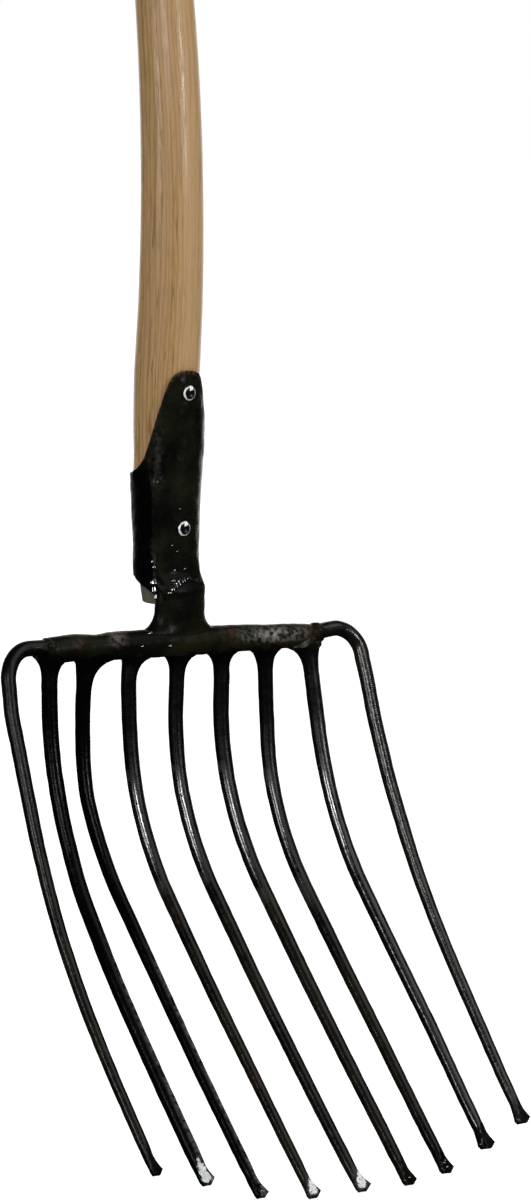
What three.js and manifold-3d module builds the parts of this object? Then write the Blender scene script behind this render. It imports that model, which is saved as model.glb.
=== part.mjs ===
import * as THREE from 'three';
import { mergeVertices } from 'three/addons/utils/BufferGeometryUtils.js';
import Module from 'manifold-3d';

// A stone fork: nine curved steel tines under a crossbar, a forged neck and an open socket, riveted
// to a bent ash handle. Lengths are in millimetres and angles in degrees. The origin is the middle
// of the crossbar, X runs along the crossbar, the hollow side of the tines faces -Y, and the socket
// and the handle rise along +Z.

// Fits
const weldGap = 0.3;
const woodGap = 0.3;
const rivetGap = 0.3;
const overrun = 20;

// Crossbar
const crossbarDiameter = 16.5;
const crossbarChamfer = 1.5;
const crossbarOverhang = 5;

// Tines, whose lengths run along the steel from the crossbar's middle height
const tineSpacing = 34;
const longestTine = 386.5;
const innerRootDiameter = 9.5;
const outerRootDiameter = 10;
const tineEndDiameter = 7.2;
const rootFilletWidth = 9;
const rootFilletHeight = 13;
const rootFilletDepth = 2.5;
const rootFilletGapShare = 0.4;
const innerStraightLength = 36;
const innerCurveLength = 126;
const outerStraightLength = 84;
const outerCurveLength = 152;
const outerCornerRadius = 17;
const outerRise = 2;

// Spade tips
const tipLength = 14;
const tipWidth = 12.5;
const tipThickness = 4.4;
const tipPoint = 3.5;
const tipPointWidthShare = 0.4;

// Forward leans of the tines from straight down: at the root, after the bend and at the tip
const innerLeanAngles = { root: 0, bend: 44.5, tip: 47 };
const secondLeanAngles = { root: 6.5, bend: 42, tip: 44 };
const outerLeanAngles = { root: 24, bend: 41, tip: 43 };

// The head is forged by hand, so each tine, from left to right, has its own drift from its place
// in the row, its own length and its own sideways lean
const rootDriftShares = [0.149, 0.169, -0.139, -0.08, -0.04, -0.045, 0.012, 0.017, 0.046];
const tineLengthShares = [0.89, 0.936, 0.987, 1, 1, 1, 0.987, 0.936, 0.89];
const rootSplayAngles = [-3.3, -2.8, 1.1, 0.8, 0.4, 2.1, 0.7, 2.4, 1.7];
const tipSplayAngles = [2, 1.9, 0.2, 0.7, 1.4, 0.2, 0.4, 0.9, 0.6];

// Handle
const handleLength = 1100;
const handleFoot = 22.5;
const woodFront = 3;
const mouthHeight = 175;
const mouthRadius = 20.6;
const footRadius = 14;
const upperRadius = 17.5;
const upperTaperLength = 315;
const curveStart = 205;
const curveRadius = 1000;
const handleBendAngle = 16;
const endRounding = 8;

// Socket and neck
const sheet = 2.4;
const wingTop = 103.5;
const wingFoot = 56;
const backSlot = 24;
const scoopHeight = 26;
const tongueRoundShares = { controlY: 0.09, controlZ: 0.97, y: 0.115, z: 0.82 };
const tongueSideShares = { firstY: 0.21, firstZ: 0.51, secondY: 0.28, secondZ: 0.01, y: 0.77 };
const neckWidth = 36;
const neckDepth = 20;
const neckCentre = 1.4;
const neckTop = 34;
const blendStart = 20;
const blendEnd = 62;
const neckFilletWidth = 8.5;
const neckFilletHeight = 10.5;
const neckFootDepth = 15.5;
const neckWeldRadius = 3;
const neckWeldAngle = 72;
const outerWeldLeg = 2;

// Rivets and the burrs under their closed ends
const upperRivetHeight = 157;
const tongueAboveRivet = 14;
const tongueTop = upperRivetHeight + tongueAboveRivet;
const lowerRivetHeight = 72;
const rivetDiameter = 5.5;
const rivetHeadDiameter = 9.5;
const rivetHeadHeight = 2.3;
const rivetTailDiameter = 9;
const rivetTailHeight = 2;
const burrDiameter = 14;
const burrThickness = 1.2;
const burrSeatDepth = 1.5;

// Facets
const steelSides = 12;
const barSides = 24;
const socketSides = 32;
const woodSides = 32;
const filletSteps = 5;
const cornerSteps = 6;
const bendSteps = 9;
const straightSteps = 3;
const tipSteps = 3;
const neckSteps = 10;
const socketSteps = 24;
const woodSteps = 12;
const roundingSteps = 4;
const weldSteps = 16;
const outlineSteps = 8;

const wasm = await Module();
wasm.setup();

const radians = THREE.MathUtils.degToRad;
const mix = THREE.MathUtils.lerp;
const smooth = THREE.MathUtils.smoothstep;
const ramp = (value, from, to) => THREE.MathUtils.clamp((value - from) / (to - from), 0, 1);

function surface(color, roughness, metalness) {
  return new THREE.MeshStandardMaterial({ color, roughness, metalness });
}
const lacqueredSteel = surface(0x15160f, 0.35, 0.4);
const ashWood = surface(0xa3865e, 0.6, 0);
const zincSteel = surface(0xc4c8c9, 0.3, 1);

const stoneFork = new THREE.Group();

function addPiece(name, geometry, material) {
  const mesh = new THREE.Mesh(geometry, material);
  mesh.name = name;
  stoneFork.add(mesh);
}

// A closed geometry as a solid that can be cut and joined, and back again
function toSolid(geometry) {
  const bare = geometry.clone();
  bare.deleteAttribute('normal');
  bare.deleteAttribute('uv');
  const merged = mergeVertices(bare);
  return new wasm.Manifold(new wasm.Mesh({
    numProp: 3,
    vertProperties: new Float32Array(merged.attributes.position.array),
    triVerts: new Uint32Array(merged.index.array),
  }));
}

function toGeometry(solid) {
  const { vertProperties, triVerts } = solid.getMesh();
  const geometry = new THREE.BufferGeometry();
  geometry.setAttribute('position', new THREE.BufferAttribute(vertProperties, 3));
  geometry.setIndex(new THREE.BufferAttribute(triVerts, 1));
  geometry.computeVertexNormals();
  return geometry;
}

function evenSteps(from, to, count) {
  return Array.from({ length: count }, (_, i) => mix(from, to, (i + 1) / count));
}

// The points of a line that starts at a point and has a known direction at each distance along it
function traceLine(start, distances, directionAt) {
  const points = [start];
  for (let i = 1; i < distances.length; i++) {
    const direction = directionAt((distances[i - 1] + distances[i]) / 2);
    points.push(points[i - 1].clone().addScaledVector(direction, distances[i] - distances[i - 1]));
  }
  return points;
}

// A bar of changing oval section: each ring of a unit cylinder goes to its own station, which has
// a centre and the two half-axes of its oval, and the first station is the cylinder's top
function sweepRings(stations, sides) {
  const last = stations.length - 1;
  const geometry = new THREE.CylinderGeometry(1, 1, 1, sides, last);
  const corners = geometry.attributes.position;
  for (let i = 0; i < corners.count; i++) {
    const station = stations[Math.round((0.5 - corners.getY(i)) * last)];
    const corner = station.centre.clone()
      .addScaledVector(station.across, corners.getX(i))
      .addScaledVector(station.through, corners.getZ(i));
    corners.setXYZ(i, corner.x, corner.y, corner.z);
  }
  return geometry;
}

// A level oval section of a piece that rises along Z
function levelRing(y, z, halfWidth, halfDepth) {
  return {
    centre: new THREE.Vector3(0, y, z),
    across: new THREE.Vector3(halfWidth, 0, 0),
    through: new THREE.Vector3(0, halfDepth, 0),
  };
}

// How far a hollow fillet still reaches out at a distance from its foot, as a share of its width
function filletShare(distance, height) {
  const rise = 1 - ramp(distance, 0, height);
  return 1 - Math.sqrt(1 - rise * rise);
}

// Crossbar: a round bar from the second tine to the last but one
const tineCount = rootDriftShares.length;
const middleTine = (tineCount - 1) / 2;
const tineRoots = rootDriftShares.map((drift, i) => (i - middleTine + drift) * tineSpacing);
const crossbarRadius = crossbarDiameter / 2;
const crossbarLeft = tineRoots[1] - crossbarOverhang;
const crossbarRight = tineRoots[tineCount - 2] + crossbarOverhang;

function barAlongX(left, right, radius, chamfer, sides) {
  const profile = [
    new THREE.Vector2(0, left),
    new THREE.Vector2(radius - chamfer, left),
    new THREE.Vector2(radius, left + chamfer),
    new THREE.Vector2(radius, right - chamfer),
    new THREE.Vector2(radius - chamfer, right),
    new THREE.Vector2(0, right),
  ];
  return new THREE.LatheGeometry(profile, sides).rotateZ(-Math.PI / 2);
}

const crossbarHollow = toSolid(barAlongX(
  crossbarLeft - weldGap,
  crossbarRight + weldGap,
  crossbarRadius + weldGap,
  crossbarChamfer,
  barSides,
));
addPiece(
  'crossbar',
  barAlongX(crossbarLeft, crossbarRight, crossbarRadius, crossbarChamfer, barSides),
  lacqueredSteel,
);

// Tines: round tapered rods that sweep forward, end in small spades and widen at the root, where
// a hollow fillet on each side runs into the crossbar
function tineSection(distance, length, rootDiameter) {
  const radius = mix(rootDiameter, tineEndDiameter, distance / length) / 2;
  const toEnd = length - distance;
  const spade = 1 - smooth(toEnd, tipPoint, tipLength);
  const point = mix(tipPointWidthShare, 1, ramp(toEnd, 0, tipPoint));
  return {
    halfWidth: mix(radius, tipWidth / 2, spade) * point,
    halfDepth: mix(radius, tipThickness / 2, spade) * point,
  };
}

// The fillets share the room between two roots, which is narrow where the roots have drifted
function filletReach(i, side) {
  const room = Math.abs(tineRoots[i + side] - tineRoots[i]) - innerRootDiameter;
  return Math.min(rootFilletWidth, room * rootFilletGapShare);
}

function leanAt(distance, length, leans, straight, bend) {
  const toBend = mix(leans.root, leans.bend, ramp(distance, straight, straight + bend));
  return toBend + (leans.tip - leans.bend) * ramp(distance, straight + bend, length);
}

function steelDirection(lean, splay) {
  const down = Math.cos(radians(splay));
  return new THREE.Vector3(
    Math.sin(radians(splay)),
    -down * Math.sin(radians(lean)),
    -down * Math.cos(radians(lean)),
  );
}

function steelRing(centre, lean, splay, section) {
  const front = new THREE.Vector3(0, -Math.cos(radians(lean)), Math.sin(radians(lean)));
  const across = front.clone().cross(steelDirection(lean, splay));
  return {
    centre,
    across: across.multiplyScalar(section.halfWidth),
    through: front.multiplyScalar(section.halfDepth),
  };
}

// The fillets of the second tines reach past the crossbar's end, and stop under the outer weld
function roomBesideBar(side) {
  const floor = outerRise - outerRootDiameter / 2 - outerWeldLeg - 2 * weldGap;
  const end = side < 0 ? crossbarLeft : crossbarRight;
  const room = new THREE.BoxGeometry(overrun, 2 * overrun, 2 * overrun);
  return toSolid(room.translate(end + side * (weldGap + overrun / 2), 0, floor + overrun));
}

function innerTine(i) {
  const second = i === 1 || i === tineCount - 2;
  const leans = second ? secondLeanAngles : innerLeanAngles;
  const length = longestTine * tineLengthShares[i];
  const bendEnd = innerStraightLength + innerCurveLength;
  const distances = [
    0,
    crossbarRadius,
    ...evenSteps(crossbarRadius, crossbarRadius + rootFilletHeight, filletSteps),
    innerStraightLength,
    ...evenSteps(innerStraightLength, bendEnd, bendSteps),
    ...evenSteps(bendEnd, length - tipLength, straightSteps),
    ...evenSteps(length - tipLength, length - tipPoint, tipSteps),
    length,
  ];
  const lean = (distance) => leanAt(distance, length, leans, innerStraightLength, innerCurveLength);
  const splay = (distance) => mix(rootSplayAngles[i], tipSplayAngles[i], distance / length);
  const start = new THREE.Vector3(tineRoots[i], 0, 0);
  const heading = (distance) => steelDirection(lean(distance), splay(distance));
  const points = traceLine(start, distances, heading);
  const rings = points.map((point, k) => {
    const fillet = filletShare(distances[k] - crossbarRadius, rootFilletHeight);
    const section = tineSection(distances[k], length, innerRootDiameter);
    section.halfWidth += fillet * (filletReach(i, 1) + filletReach(i, -1)) / 2;
    section.halfDepth += fillet * rootFilletDepth;
    point.x += fillet * (filletReach(i, 1) - filletReach(i, -1)) / 2;
    return steelRing(point, lean(distances[k]), splay(distances[k]), section);
  });
  const tine = toSolid(sweepRings(rings, steelSides)).subtract(crossbarHollow);
  return toGeometry(second ? tine.subtract(roomBesideBar(Math.sign(tineRoots[i]))) : tine);
}

// The outermost tines are rods of their own: each leaves the crossbar's end level, turns down
// round a corner and then sweeps forward as the others do
function outerTine(i) {
  const side = Math.sign(tineRoots[i]);
  const barEnd = side < 0 ? crossbarLeft : crossbarRight;
  const start = new THREE.Vector3(barEnd + side * weldGap, 0, outerRise);
  const run = Math.abs(tineRoots[i] - start.x) - outerCornerRadius;
  const corner = outerCornerRadius * radians(90 - side * rootSplayAngles[i]);
  const above = run + corner - outerCornerRadius + outerRise;
  const below = longestTine * tineLengthShares[i];
  const length = above + below;
  const bendFrom = above + outerStraightLength;
  const bendTo = bendFrom + outerCurveLength;
  const distances = [
    0,
    run,
    ...evenSteps(run, run + corner, cornerSteps),
    ...evenSteps(run + corner, bendFrom, straightSteps),
    ...evenSteps(bendFrom, bendTo, bendSteps),
    ...evenSteps(bendTo, length - tipLength, straightSteps),
    ...evenSteps(length - tipLength, length - tipPoint, tipSteps),
    length,
  ];
  const lean = (distance) => leanAt(
    distance - above,
    below,
    outerLeanAngles,
    outerStraightLength,
    outerCurveLength,
  );
  const splay = (distance) => {
    const turned = mix(side * 90, rootSplayAngles[i], ramp(distance, run, run + corner));
    return turned + (tipSplayAngles[i] - rootSplayAngles[i]) * ramp(distance, run + corner, length);
  };
  const heading = (distance) => steelDirection(lean(distance), splay(distance));
  const points = traceLine(start, distances, heading);
  const rings = points.map((point, k) => {
    const section = tineSection(distances[k], length, outerRootDiameter);
    return steelRing(point, lean(distances[k]), splay(distances[k]), section);
  });
  return sweepRings(rings, steelSides);
}

for (let i = 0; i < tineCount; i++) {
  const outermost = i === 0 || i === tineCount - 1;
  addPiece(`tine_${i + 1}`, outermost ? outerTine(i) : innerTine(i), lacqueredSteel);
}

// Welds that carry the outermost tines: a fillet round each rod against the crossbar's end
function outerWeld(barEnd, side) {
  const hole = outerRootDiameter / 2 + weldGap;
  const profile = [
    new THREE.Vector2(hole, weldGap),
    new THREE.Vector2(hole + outerWeldLeg, weldGap),
    new THREE.Vector2(hole, weldGap + outerWeldLeg),
    new THREE.Vector2(hole, weldGap),
  ];
  const ring = new THREE.LatheGeometry(profile, barSides).rotateZ(-side * Math.PI / 2);
  return ring.translate(barEnd, 0, outerRise);
}
addPiece('outer_weld_left', outerWeld(crossbarLeft, -1), lacqueredSteel);
addPiece('outer_weld_right', outerWeld(crossbarRight, 1), lacqueredSteel);

// Handle: one ash pole whose lower end is shaved to fit the socket, with a straight front
function woodRadius(z) {
  const shaved = ramp(z, mouthHeight, handleFoot);
  return mouthRadius - (mouthRadius - footRadius) * shaved ** 3;
}

function woodRings(clearance, low, high, steps) {
  return [low, ...evenSteps(low, high, steps)].map((z) => {
    const radius = woodRadius(z) + clearance;
    return levelRing(woodFront + woodRadius(z), z, radius, radius);
  });
}

function poleRings() {
  const reach = handleLength - (mouthHeight - handleFoot);
  const straight = curveStart - mouthHeight;
  const bendEnd = straight + curveRadius * radians(handleBendAngle);
  const rounding = evenSteps(0, Math.PI / 2, roundingSteps);
  const distances = [
    straight,
    ...evenSteps(straight, bendEnd, bendSteps),
    ...evenSteps(bendEnd, reach - endRounding, straightSteps),
    ...rounding.map((turn) => reach - endRounding * (1 - Math.sin(turn))),
  ];
  const lean = (distance) => handleBendAngle * ramp(distance, straight, bendEnd);
  const direction = (distance) => {
    const angle = radians(lean(distance));
    return new THREE.Vector3(0, Math.sin(angle), Math.cos(angle));
  };
  const start = new THREE.Vector3(0, woodFront + mouthRadius, curveStart);
  return traceLine(start, distances, direction).map((centre, k) => {
    const angle = radians(lean(distances[k]));
    const pole = mix(mouthRadius, upperRadius, ramp(distances[k], 0, upperTaperLength));
    const past = ramp(distances[k], reach - endRounding, reach);
    const radius = pole - endRounding * (1 - Math.sqrt(1 - past * past));
    return {
      centre,
      across: new THREE.Vector3(radius, 0, 0),
      through: new THREE.Vector3(0, radius * Math.cos(angle), -radius * Math.sin(angle)),
    };
  });
}

// Socket and neck: the sheet is rolled round the wood, and its front thickens downwards into the
// oval of the neck, which widens again into the crossbar
function neckRing(z, clearance) {
  const blend = smooth(z, blendStart, blendEnd);
  const tube = woodRadius(z) + woodGap + sheet;
  const foot = filletShare(z - crossbarRadius, neckFilletHeight);
  const centre = mix(mix(neckCentre, 0, foot), woodFront + woodRadius(z), blend);
  const halfWidth = mix(neckWidth / 2, tube, blend) + foot * neckFilletWidth;
  const halfDepth = mix(mix(neckDepth, neckFootDepth, foot) / 2, tube, blend);
  return levelRing(centre, z, halfWidth + clearance, halfDepth + clearance);
}

function skin(low, high, steps, clearance) {
  const heights = [low, ...evenSteps(low, high, steps)];
  const neck = toSolid(sweepRings(heights.map((z) => neckRing(z, clearance)), socketSides));
  const from = Math.max(low, handleFoot);
  const sheetSkin = sweepRings(woodRings(woodGap + sheet + clearance, from, high, steps), socketSides);
  return neck.add(toSolid(sheetSkin));
}

const woodHollow = toSolid(sweepRings(
  woodRings(woodGap, handleFoot - woodGap, mouthHeight + overrun, woodSteps),
  socketSides,
));

// Side view of the sheet: the tongue up the front, the wings behind it and the slanting foot
function sheetOutline() {
  const front = woodFront - woodGap - sheet;
  const depth = 2 * (mouthRadius + woodGap + sheet);
  const height = tongueTop - wingTop;
  const near = front - overrun;
  const far = front + depth + overrun;
  const neckBack = neckCentre + neckDepth / 2;
  const slope = (wingFoot - scoopHeight) / (front + depth - neckBack);
  const round = tongueRoundShares;
  const side = tongueSideShares;
  const outline = new THREE.Shape();
  outline.moveTo(near, -overrun);
  outline.lineTo(neckBack, -overrun);
  outline.lineTo(neckBack, scoopHeight);
  outline.lineTo(far, scoopHeight + slope * (far - neckBack));
  outline.lineTo(far, wingTop);
  outline.lineTo(front + depth * side.y, wingTop);
  outline.bezierCurveTo(
    front + depth * side.secondY,
    wingTop + height * side.secondZ,
    front + depth * side.firstY,
    wingTop + height * side.firstZ,
    front + depth * round.y,
    wingTop + height * round.z,
  );
  outline.quadraticCurveTo(
    front + depth * round.controlY,
    wingTop + height * round.controlZ,
    front,
    tongueTop,
  );
  outline.lineTo(near, tongueTop);
  const slabWidth = 4 * mouthRadius;
  const slab = new THREE.ExtrudeGeometry(outline, {
    depth: slabWidth,
    bevelEnabled: false,
    curveSegments: outlineSteps,
  });
  const sideways = new THREE.Matrix4().makeBasis(
    new THREE.Vector3(0, 1, 0),
    new THREE.Vector3(0, 0, 1),
    new THREE.Vector3(1, 0, 0),
  );
  return toSolid(slab.applyMatrix4(sideways).translate(-slabWidth / 2, 0, 0));
}

function rivetHole(z, clearance) {
  const radius = rivetDiameter / 2 + clearance;
  const length = 4 * mouthRadius;
  const bore = new THREE.CylinderGeometry(radius, radius, length, barSides);
  return toSolid(bore.translate(0, mouthRadius, z));
}

const outline = sheetOutline();
const backOpening = new THREE.BoxGeometry(backSlot, 2 * mouthRadius, 2 * tongueTop);
const socket = skin(neckTop + weldGap, tongueTop + overrun, socketSteps, 0)
  .intersect(outline)
  .subtract(woodHollow)
  .subtract(toSolid(backOpening.translate(0, woodFront + 2 * mouthRadius, tongueTop)))
  .subtract(rivetHole(upperRivetHeight, rivetGap))
  .subtract(rivetHole(lowerRivetHeight, rivetGap));
addPiece('socket', toGeometry(socket), lacqueredSteel);

const neck = skin(0, neckTop, neckSteps, 0)
  .intersect(outline)
  .subtract(woodHollow)
  .subtract(crossbarHollow);
addPiece('neck', toGeometry(neck), lacqueredSteel);

// Neck weld: a bead round the front of the joint between the neck and the socket
function neckWeld() {
  const form = neckRing(neckTop, 0);
  const turns = [-neckWeldAngle, ...evenSteps(-neckWeldAngle, neckWeldAngle, weldSteps)];
  const bead = turns.map((turn) => {
    const angle = radians(turn);
    const along = new THREE.Vector3(
      form.across.x * Math.cos(angle),
      form.through.y * Math.sin(angle),
      0,
    ).normalize();
    const up = new THREE.Vector3(0, 0, neckWeldRadius);
    return {
      centre: form.centre.clone().add(
        new THREE.Vector3(form.across.x * Math.sin(angle), -form.through.y * Math.cos(angle), 0),
      ),
      across: up,
      through: along.cross(up),
    };
  });
  const room = skin(neckTop - 2 * neckWeldRadius, neckTop + 2 * neckWeldRadius, neckSteps, weldGap);
  return toSolid(sweepRings(bead, steelSides)).subtract(room);
}
addPiece('neck_weld', toGeometry(neckWeld()), lacqueredSteel);

// Handle: bored for both rivets, with a flat seat at the back for each burr
function burrSeat(z) {
  const back = woodFront + 2 * woodRadius(z) - burrSeatDepth;
  const radius = burrDiameter / 2 + rivetGap;
  const seat = new THREE.CylinderGeometry(radius, radius, overrun, barSides);
  return toSolid(seat.translate(0, back + overrun / 2, z));
}

const pole = toSolid(sweepRings(
  [...woodRings(0, handleFoot, mouthHeight, woodSteps), ...poleRings()],
  woodSides,
))
  .subtract(rivetHole(upperRivetHeight, rivetGap))
  .subtract(rivetHole(lowerRivetHeight, rivetGap))
  .subtract(burrSeat(upperRivetHeight))
  .subtract(burrSeat(lowerRivetHeight));
addPiece('handle', toGeometry(pole), ashWood);

// Rivets: a round head on the sheet in front, a shank through the wood, and an end hammered over
// a burr at the back
function dome(face, radius, height, from, to) {
  return [from, ...evenSteps(from, to, roundingSteps)].map((turn) => new THREE.Vector2(
    radius * Math.cos(radians(turn)),
    face + height * Math.sin(radians(turn)),
  ));
}

function rivetAndBurr(place, z) {
  const shank = rivetDiameter / 2;
  const headFace = woodFront - woodGap - sheet - rivetGap;
  const burrFace = woodFront + 2 * woodRadius(z) - burrSeatDepth + rivetGap;
  const tailFace = burrFace + burrThickness + rivetGap;
  const rivet = new THREE.LatheGeometry([
    ...dome(headFace, rivetHeadDiameter / 2, rivetHeadHeight, -90, 0),
    new THREE.Vector2(shank, headFace),
    new THREE.Vector2(shank, tailFace),
    ...dome(tailFace, rivetTailDiameter / 2, rivetTailHeight, 0, 90),
  ], barSides);
  const inner = shank + rivetGap;
  const burr = new THREE.LatheGeometry([
    new THREE.Vector2(inner, burrFace),
    new THREE.Vector2(burrDiameter / 2, burrFace),
    new THREE.Vector2(burrDiameter / 2, burrFace + burrThickness),
    new THREE.Vector2(inner, burrFace + burrThickness),
    new THREE.Vector2(inner, burrFace),
  ], barSides);
  addPiece(`rivet_${place}`, rivet.translate(0, 0, z), zincSteel);
  addPiece(`burr_${place}`, burr.translate(0, 0, z), zincSteel);
}
rivetAndBurr('upper', upperRivetHeight);
rivetAndBurr('lower', lowerRivetHeight);

stoneFork.updateMatrixWorld(true);

export default stoneFork;
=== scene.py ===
import math

import bmesh
import bpy
from mathutils import Matrix, Vector, noise


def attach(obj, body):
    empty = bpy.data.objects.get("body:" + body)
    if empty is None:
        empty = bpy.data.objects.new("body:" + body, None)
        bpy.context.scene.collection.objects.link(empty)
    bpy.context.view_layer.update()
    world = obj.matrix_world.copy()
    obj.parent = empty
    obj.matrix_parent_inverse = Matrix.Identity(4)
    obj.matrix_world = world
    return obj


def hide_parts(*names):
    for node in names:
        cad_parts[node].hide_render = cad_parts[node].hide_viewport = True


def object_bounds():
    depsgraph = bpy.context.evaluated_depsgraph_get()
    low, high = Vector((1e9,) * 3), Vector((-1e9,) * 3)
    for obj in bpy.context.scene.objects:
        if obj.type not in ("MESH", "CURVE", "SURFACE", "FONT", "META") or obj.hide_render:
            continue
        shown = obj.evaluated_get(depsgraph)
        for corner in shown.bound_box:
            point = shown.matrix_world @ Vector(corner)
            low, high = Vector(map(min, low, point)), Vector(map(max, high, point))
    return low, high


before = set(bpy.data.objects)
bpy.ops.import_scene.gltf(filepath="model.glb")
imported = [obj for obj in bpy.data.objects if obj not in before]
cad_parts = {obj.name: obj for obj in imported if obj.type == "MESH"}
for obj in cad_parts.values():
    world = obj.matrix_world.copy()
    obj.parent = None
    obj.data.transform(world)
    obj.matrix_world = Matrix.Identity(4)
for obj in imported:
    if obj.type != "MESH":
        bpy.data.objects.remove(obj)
cad_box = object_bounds()

# Camera: a long lens three metres away, to the left of the fork's front and a little above it.
# The crossbar's middle sits left of the picture's centre and just under it, and the handle runs
# out of the top.
turn, fall, roll = (math.radians(angle) for angle in (36.2, 7.55, 2.35))
forward = Vector((math.sin(turn) * math.cos(fall), math.cos(turn) * math.cos(fall), -math.sin(fall)))
level = forward.cross(Vector((0, 0, 1))).normalized()
upright = level.cross(forward)
right = level * math.cos(roll) + upright * math.sin(roll)
up = upright * math.cos(roll) - level * math.sin(roll)
camera = bpy.data.objects.new("camera", bpy.data.cameras.new("camera"))
camera.matrix_world = Matrix((right, up, -forward)).transposed().to_4x4()
moved_right, moved_up, moved_back = 0.0542, 0.0267, 3.083
camera.location = right * moved_right + up * moved_up - forward * moved_back
camera.data.lens = 147.5
camera.data.clip_end = 60
bpy.context.scene.collection.objects.link(camera)
bpy.context.scene.camera = camera
bpy.context.scene.view_settings.view_transform = "Standard"


# Studio: a matt white floor under the tips, a white surround, and four lamps: a tall one to the
# right of the camera, a wide soft one overhead, a large one high behind the camera and a low one on
# the left.
def add_node(tree, kind, inputs=(), **settings):
    """Adds a shader node, sets it, and gives each named input a value or another node's output."""
    added = tree.nodes.new("ShaderNode" + kind)
    for name, value in settings.items():
        setattr(added, name, value)
    for name, value in dict(inputs).items():
        if isinstance(value, bpy.types.NodeSocket):
            tree.links.new(value, added.inputs[name])
        else:
            added.inputs[name].default_value = value
    return added


def new_tree(holder):
    holder.use_nodes = True
    holder.node_tree.nodes.clear()
    return holder.node_tree


def seen_share(tree):
    """1 for what the camera sees, straight or in a reflection or through glass, and 0 for light."""
    path = add_node(tree, "LightPath")
    mirrored = add_node(
        tree, "Math",
        {0: path.outputs["Is Glossy Ray"], 1: path.outputs["Is Transmission Ray"]}, operation="MAXIMUM",
    )
    return add_node(
        tree, "Math",
        {0: path.outputs["Is Camera Ray"], 1: mirrored.outputs[0]}, operation="MAXIMUM",
    ).outputs[0]


world = bpy.data.worlds.new("white_surround")
bpy.context.scene.world = world
tree = new_tree(world)
dim = add_node(tree, "Background", {"Color": (1, 1, 1, 1), "Strength": 0.5})
white = add_node(tree, "Background", {"Color": (1, 1, 1, 1), "Strength": 1.0})
both = add_node(tree, "MixShader", {0: seen_share(tree), 1: dim.outputs[0], 2: white.outputs[0]})
add_node(tree, "OutputWorld", {"Surface": both.outputs[0]})

floor_height = cad_box[0].z
floor_radius, gap_under_tips = 14, 0.0005
floor_mesh = bmesh.new()
bmesh.ops.create_circle(floor_mesh, cap_ends=True, segments=96, radius=floor_radius)
bmesh.ops.translate(floor_mesh, verts=floor_mesh.verts, vec=(0, 0, floor_height - gap_under_tips))
floor = bpy.data.objects.new("floor", bpy.data.meshes.new("floor"))
floor_mesh.to_mesh(floor.data)
floor_mesh.free()
bpy.context.scene.collection.objects.link(floor)
paper = bpy.data.materials.new("matt_white_paper")
tree = new_tree(paper)
matt = add_node(tree, "BsdfDiffuse", {"Color": (0.8, 0.8, 0.8, 1)})
glow = add_node(tree, "Emission", {"Color": (1, 1, 1, 1), "Strength": 0.75})
none = add_node(tree, "Emission", {"Color": (0, 0, 0, 1), "Strength": 0.0})
shown = add_node(tree, "MixShader", {0: seen_share(tree), 1: none.outputs[0], 2: glow.outputs[0]})
lit = add_node(tree, "AddShader", {0: matt.outputs[0], 1: shown.outputs[0]})
add_node(tree, "OutputMaterial", {"Surface": lit.outputs[0]})
floor.data.materials.append(paper)


def add_lamp(name, direction, distance, width, height, watts):
    """A rectangular lamp that looks at the head from a direction."""
    lamp = bpy.data.lights.new(name, "AREA")
    lamp.shape = "RECTANGLE"
    lamp.size, lamp.size_y = width, height
    lamp.energy = watts
    away = Vector(direction).normalized()
    hung = bpy.data.objects.new(name, lamp)
    hung.matrix_world = away.to_track_quat("Z", "Y").to_matrix().to_4x4()
    hung.location = away * distance
    hung.visible_camera = False
    bpy.context.scene.collection.objects.link(hung)


add_lamp("front_lamp", (0.29, -0.89, 0.35), distance=3.0, width=0.3, height=0.7, watts=18)
add_lamp("top_softbox", (0.30, -0.50, 0.81), distance=2.2, width=1.8, height=1.6, watts=9)
add_lamp("high_softbox", (-0.631, -0.630, 0.455), distance=3.97, width=0.65, height=1.3, watts=33)
add_lamp("left_softbox", (-0.949, -0.143, 0.272), distance=2.6, width=0.5, height=0.8, watts=9)


# Dark curtain: black cloth hung round the camera's side of the studio and laid on the floor there.
# Only reflections see it, so that the lacquer mirrors something dark, as in a photographer's tent.
def keep_side(shape, plane_at, facing):
    """Cuts off what lies on the far side of a plane."""
    bmesh.ops.bisect_plane(
        shape, geom=shape.verts[:] + shape.edges[:] + shape.faces[:], plane_co=plane_at, plane_no=facing,
        clear_outer=True,
    )


ahead = Vector((forward.x, forward.y, 0)).normalized()
rug_radius, rug_end, rug_rise = 4.1, 2.2, 0.001
tent_radius, tent_end = 4.2, 3.3
curtain_mesh = bmesh.new()
bmesh.ops.create_circle(curtain_mesh, cap_ends=True, segments=96, radius=rug_radius)
keep_side(curtain_mesh, ahead * rug_end, ahead)
bmesh.ops.translate(curtain_mesh, verts=curtain_mesh.verts, vec=(0, 0, rug_rise))
bmesh.ops.create_uvsphere(curtain_mesh, u_segments=64, v_segments=32, radius=tent_radius)
keep_side(curtain_mesh, ahead * tent_end, ahead)
keep_side(curtain_mesh, (0, 0, 0), (0, 0, -1))
bmesh.ops.translate(curtain_mesh, verts=curtain_mesh.verts, vec=(0, 0, floor_height))
curtain = bpy.data.objects.new("dark_curtain", bpy.data.meshes.new("dark_curtain"))
curtain_mesh.to_mesh(curtain.data)
curtain_mesh.free()
bpy.context.scene.collection.objects.link(curtain)
curtain.visible_camera = curtain.visible_diffuse = False
curtain.visible_transmission = curtain.visible_shadow = False
velvet = bpy.data.materials.new("black_velvet")
tree = new_tree(velvet)
cloth = add_node(tree, "BsdfDiffuse", {"Color": (0.02, 0.02, 0.02, 1)})
add_node(tree, "OutputMaterial", {"Surface": cloth.outputs[0]})
curtain.data.materials.append(velvet)


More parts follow.
